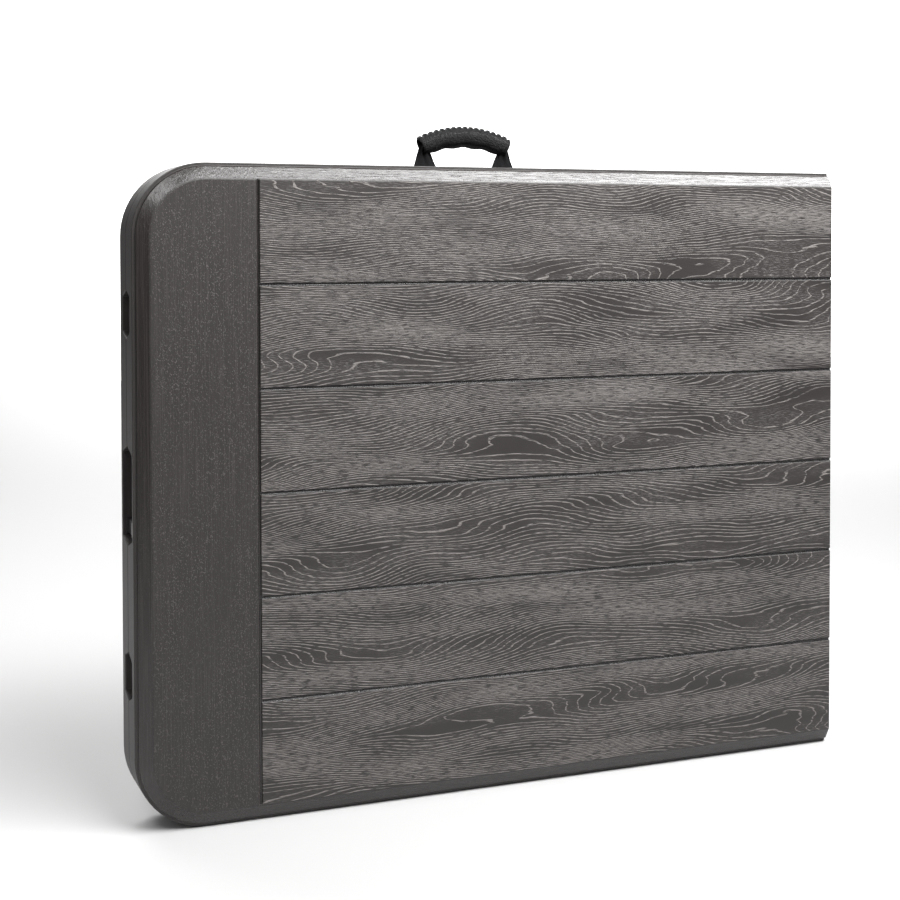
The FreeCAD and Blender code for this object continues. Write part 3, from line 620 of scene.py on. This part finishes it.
class FOLDTABLE_OT_fittings(bpy.types.Operator):
    """Zinc plate and black plastic of the small parts"""
    bl_idname = "foldtable.fittings"
    bl_label = "Fittings"

    def execute(self, context):
        look = context.scene.folding_table.metal
        paint(in_slot("zinc_steel"), zinc_plate("zinc_coat", look.zinc))
        paint(in_slot("black_plastic"), moulded_fitting("fitting_plastic", look.plastic))
        return {"FINISHED"}


class FOLDTABLE_OT_stage(bpy.types.Operator):
    """Floor, lights and camera"""
    bl_idname = "foldtable.stage"
    bl_label = "Stage"

    def execute(self, context):
        look = context.scene.folding_table.stage
        scene = context.scene
        ground = np.array([[[-30.0, -30.0, -0.0005], [30.0, -30.0, -0.0005]],
                           [[-30.0, 30.0, -0.0005], [30.0, 30.0, -0.0005]]])
        finish = Finish("floor_paint")
        grain = finish.noise(finish.place, 90.0, 3.0)
        pale = finish.surface(Base_Color=tuple(look.floor), Roughness=0.8,
                              Normal=finish.bump(grain, 0.05, 0.0002))
        grid_piece("studio_floor", ground, pale)
        wall = np.array([[[-0.4, 6.0, -1.0], [7.4, 6.0, -1.0]], [[-0.4, 6.0, 5.0], [7.4, 6.0, 5.0]]])
        glow = Finish("backdrop_glow")
        white = glow.surface(Base_Color=(0.9, 0.9, 0.9), Roughness=1.0,
                             Emission_Color=(1.0, 1.0, 1.0), Emission_Strength=1.3)
        grid_piece("studio_backdrop", wall, white)
        world = bpy.data.worlds.new("studio")
        scene.world = world
        world.use_nodes = True
        background = world.node_tree.nodes["Background"]
        background.inputs["Color"].default_value = (1.0, 1.0, 1.0, 1.0)
        background.inputs["Strength"].default_value = 0.19
        lamps = (("top_soft", (0.5, -0.78, 1.68), (0.2, 0.0, 0.72), (1.9, 0.46), 65.0),
                 ("back_soft", (-0.6, 1.6, 2.2), (0.0, 0.0, 0.5), (1.6, 1.0), 30.0),
                 ("floor_soft", (3.1, 4.0, 2.3), (3.1, 4.0, 0.0), (6.8, 3.0), 190.0),
                 ("corner_soft", (-1.1, -1.0, 1.72), (-0.43, 0.0, 0.68), (0.6, 0.6), 9.0),
                 ("side_soft", (-2.6, -0.6, 1.4), (-0.3, 0.0, 0.4), (1.4, 1.4), 2.5))
        for name, place, aim, (wide, deep), power in lamps:
            lamp = bpy.data.lights.new(name, "AREA")
            lamp.shape = "RECTANGLE"
            lamp.size = wide
            lamp.size_y = deep
            lamp.energy = power
            lit = bpy.data.objects.new(name, lamp)
            lit.location = place
            lit.rotation_euler = (Vector(aim) - Vector(place)).to_track_quat("-Z", "Y").to_euler()
            scene.collection.objects.link(lit)
        eye = bpy.data.cameras.new("camera")
        eye.lens = look.lens
        eye.sensor_width = 36.0
        eye.shift_y = look.shift
        held = bpy.data.objects.new("camera", eye)
        held.location = look.camera_place
        held.rotation_euler = look.camera_turn
        scene.collection.objects.link(held)
        scene.camera = held
        scene.view_settings.view_transform = "Standard"
        return {"FINISHED"}


class FOLDTABLE_PT_sidebar(bpy.types.Panel):
    """Lists the pieces of the folding table"""
    bl_label = "Folding Table"
    bl_idname = "FOLDTABLE_PT_sidebar"
    bl_space_type = "VIEW_3D"
    bl_region_type = "UI"
    bl_category = "Folding Table"

    def draw(self, context):
        for step in STEPS:
            self.layout.operator(step.bl_idname)


LOOKS = (PanelLook, HandleLook, MetalLook, StageLook, FoldingTableLook)
STEPS = (FOLDTABLE_OT_stage, FOLDTABLE_OT_top_panels, FOLDTABLE_OT_grip, FOLDTABLE_OT_straps,
         FOLDTABLE_OT_steelwork, FOLDTABLE_OT_fittings)


def register():
    """Add the looks, the operators and the panel."""
    for held in (*LOOKS, *STEPS, FOLDTABLE_PT_sidebar):
        bpy.utils.register_class(held)
    bpy.types.Scene.folding_table = bpy.props.PointerProperty(type=FoldingTableLook)


def unregister():
    """Take the looks, the operators and the panel out again."""
    del bpy.types.Scene.folding_table
    for held in reversed((*LOOKS, *STEPS, FOLDTABLE_PT_sidebar)):
        bpy.utils.unregister_class(held)


def main():
    """Build every piece."""
    register()
    for step in STEPS:
        group, name = step.bl_idname.split(".")
        getattr(getattr(bpy.ops, group), name)()


if __name__ == "__main__":
    main()
